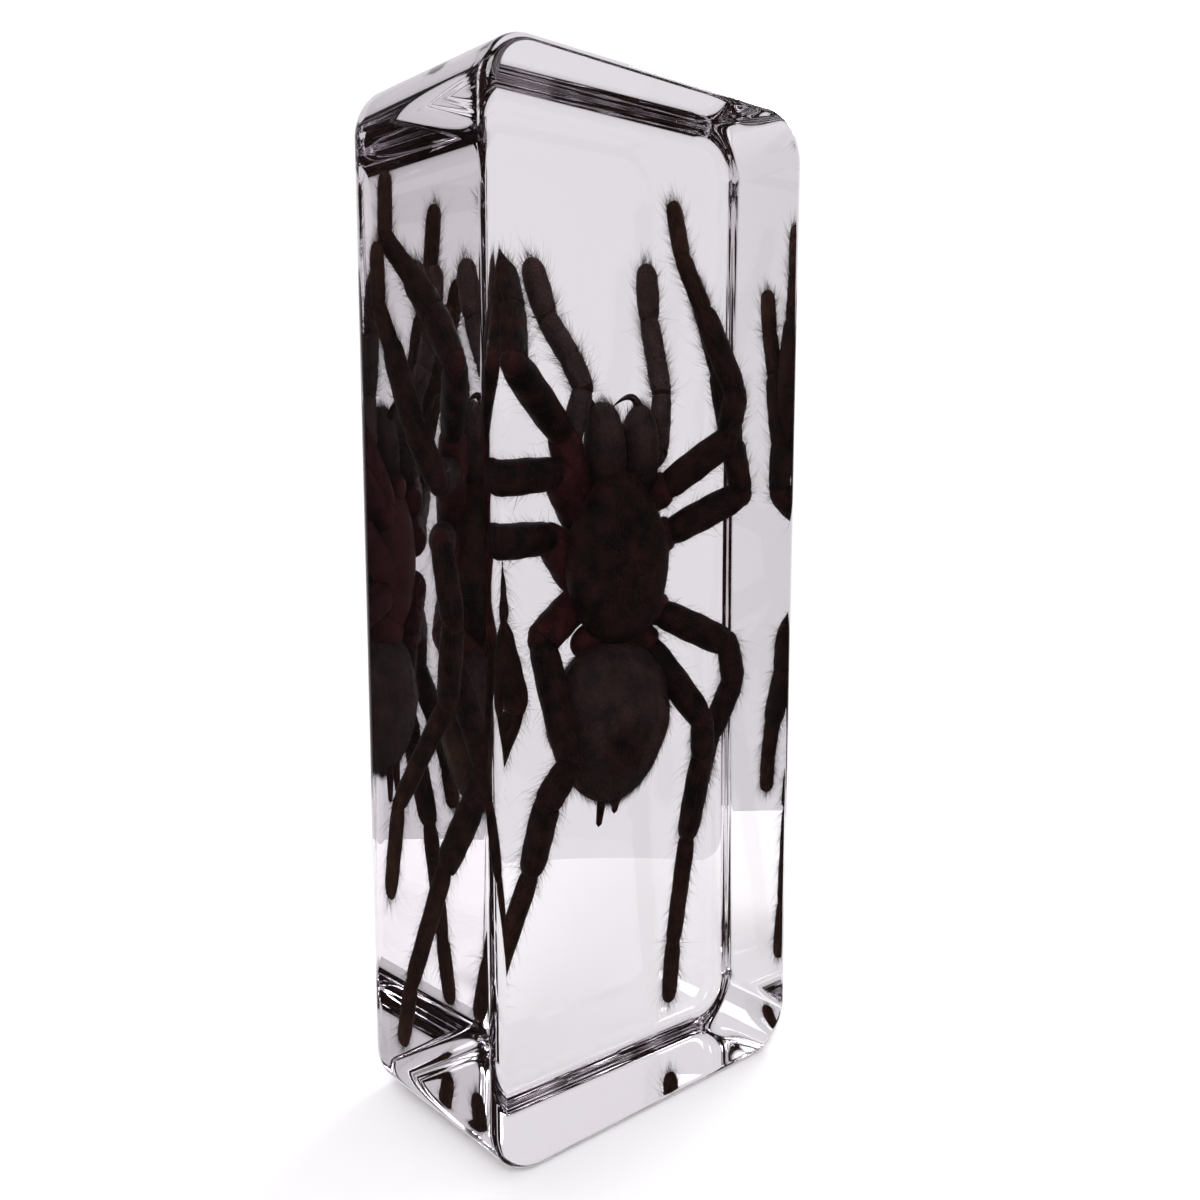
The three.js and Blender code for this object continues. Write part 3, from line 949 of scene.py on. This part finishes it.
class SPECIMEN_OT_stage(bpy.types.Operator):
    """Sets the floor, light and camera"""

    bl_idname = "specimen.stage"
    bl_label = "Stage"

    def execute(self, context):
        stage = context.scene.specimen_stage
        self.lay_floor(context, stage)
        self.light(context, stage)
        self.place_camera(context, stage)
        context.scene.view_settings.view_transform = "Standard"
        context.scene.cycles.max_bounces = LIGHT_BOUNCES
        context.scene.cycles.transmission_bounces = LIGHT_BOUNCES
        context.scene.cycles.glossy_bounces = LIGHT_BOUNCES
        return {"FINISHED"}

    def lay_floor(self, context, stage):
        """A round floor: rings of points that share one level."""
        rings = len(FLOOR_RINGS)
        radii = np.array(FLOOR_RINGS)[:, None] * stage.floor_radius
        around = np.linspace(0, 2 * np.pi, FLOOR_SIDES, endpoint=False)[None]
        level = LOW[2] - FLOOR_GAP
        flat = np.full((rings, FLOOR_SIDES), level)
        grid = np.stack([radii * np.cos(around), radii * np.sin(around), flat], axis=-1)
        quads, triangles = skin_faces(rings, FLOOR_SIDES)
        triangles = triangles[:FLOOR_SIDES, ::-1]
        mesh = bpy.data.meshes.new("floor")
        points = np.concatenate([grid.reshape(-1, 3), [[0, 0, level]]])
        mesh.from_pydata(points.tolist(), [], quads[:, ::-1].tolist() + triangles.tolist())
        mesh.materials.append(floor_material(stage))
        floor = bpy.data.objects.new("floor", mesh)
        context.collection.objects.link(floor)
        floor.visible_glossy = False

    def light(self, context, stage):
        """A white surround for the eye. Through the block it is a grey backdrop and a dimmer room behind
        the camera, and the faces mirror dark flags beside the camera. Two soft boxes light the spider."""
        world = bpy.data.worlds.new("studio")
        context.scene.world = world
        world.use_nodes = True
        tree = world.node_tree
        tree.nodes.clear()
        ray = add_node(tree, "ShaderNodeLightPath").outputs
        mirrored = add_node(tree, "ShaderNodeMath", {"operation": "MULTIPLY"}, {
            0: ray["Is Glossy Ray"], 1: ray["Is Reflection Ray"],
        })
        direction = add_node(tree, "ShaderNodeTexCoord").outputs["Generated"]
        ahead = add_node(tree, "ShaderNodeVectorMath", {
            "operation": "DOT_PRODUCT", 1: (math.sin(stage.turn), math.cos(stage.turn), 0),
        }, {0: direction})
        room = add_node(tree, "ShaderNodeMapRange", {
            "interpolation_type": "SMOOTHSTEP", 1: -0.5, 2: 0.4, 3: ROOM, 4: BACKDROP,
        }, {0: ahead.outputs["Value"]})
        flags = add_node(tree, "ShaderNodeMapRange", {
            "interpolation_type": "SMOOTHSTEP", 1: 0.3, 2: 0.9, 3: SIDE_FLAG, 4: BACKDROP,
        }, {0: ahead.outputs["Value"]})
        around = add_node(tree, "ShaderNodeMapRange", {}, {
            0: mirrored.outputs[0], 3: room.outputs[0], 4: flags.outputs[0],
        })
        shade = add_node(tree, "ShaderNodeMapRange", {4: SURROUND}, {
            0: ray["Is Camera Ray"], 3: around.outputs[0],
        })
        back = add_node(tree, "ShaderNodeBackground", {
            "Color": linear("#fffbff"),
        }, {"Strength": shade.outputs[0]})
        output = add_node(tree, "ShaderNodeOutputWorld")
        tree.links.new(back.outputs[0], output.inputs["Surface"])
        for name, (place, size, power) in SOFT_BOXES.items():
            lamp = bpy.data.lights.new(name, "AREA")
            lamp.shape = "DISK"
            lamp.size = size
            lamp.energy = power
            box = bpy.data.objects.new(name, lamp)
            box.location = place
            aim = LIT_POINT - np.array(place)
            tilt = math.atan2(math.hypot(aim[0], aim[1]), -aim[2])
            turn = math.atan2(aim[0], -aim[1]) + math.pi
            box.rotation_euler = (tilt, 0, turn)
            context.collection.objects.link(box)

    def place_camera(self, context, stage):
        """The camera looks along +Y, turned towards +X and dipped below the horizon."""
        lens = bpy.data.cameras.new("camera")
        lens.sensor_width = FRAME_WIDTH
        lens.lens = stage.lens
        lens.clip_start = 1 * MM
        camera = bpy.data.objects.new("camera", lens)
        camera.location = stage.camera
        camera.rotation_euler = (math.pi / 2 - stage.dip, 0, -stage.turn)
        context.collection.objects.link(camera)
        context.scene.camera = camera


class SPECIMEN_PT_sidebar(bpy.types.Panel):
    """Lists the pieces in the order in which they are made"""

    bl_idname = "SPECIMEN_PT_sidebar"
    bl_label = "Specimen"
    bl_space_type = "VIEW_3D"
    bl_region_type = "UI"
    bl_category = "Specimen"

    def draw(self, context):
        for operator in OPERATORS:
            self.layout.operator(operator.bl_idname)
        for group in GROUPS:
            settings = getattr(context.scene, group)
            for name in settings.bl_rna.properties.keys():
                if name not in ("rna_type", "name"):
                    self.layout.prop(settings, name)


OPERATORS = (
    SPECIMEN_OT_stage,
    SPECIMEN_OT_resin_block,
    SPECIMEN_OT_body,
    SPECIMEN_OT_limbs,
    SPECIMEN_OT_hair,
)
GROUPS = {
    "specimen_block": BlockSettings,
    "specimen_spider": SpiderSettings,
    "specimen_stage": StageSettings,
}


def register():
    for kind in (*GROUPS.values(), *OPERATORS, SPECIMEN_PT_sidebar):
        bpy.utils.register_class(kind)
    for name, kind in GROUPS.items():
        setattr(bpy.types.Scene, name, PointerProperty(type=kind))


def unregister():
    for name in GROUPS:
        delattr(bpy.types.Scene, name)
    for kind in (SPECIMEN_PT_sidebar, *reversed(OPERATORS), *reversed(tuple(GROUPS.values()))):
        bpy.utils.unregister_class(kind)


def main():
    register()
    bpy.ops.specimen.stage()
    bpy.ops.specimen.resin_block()
    bpy.ops.specimen.body()
    bpy.ops.specimen.limbs()
    bpy.ops.specimen.hair()


if __name__ == "__main__":
    main()
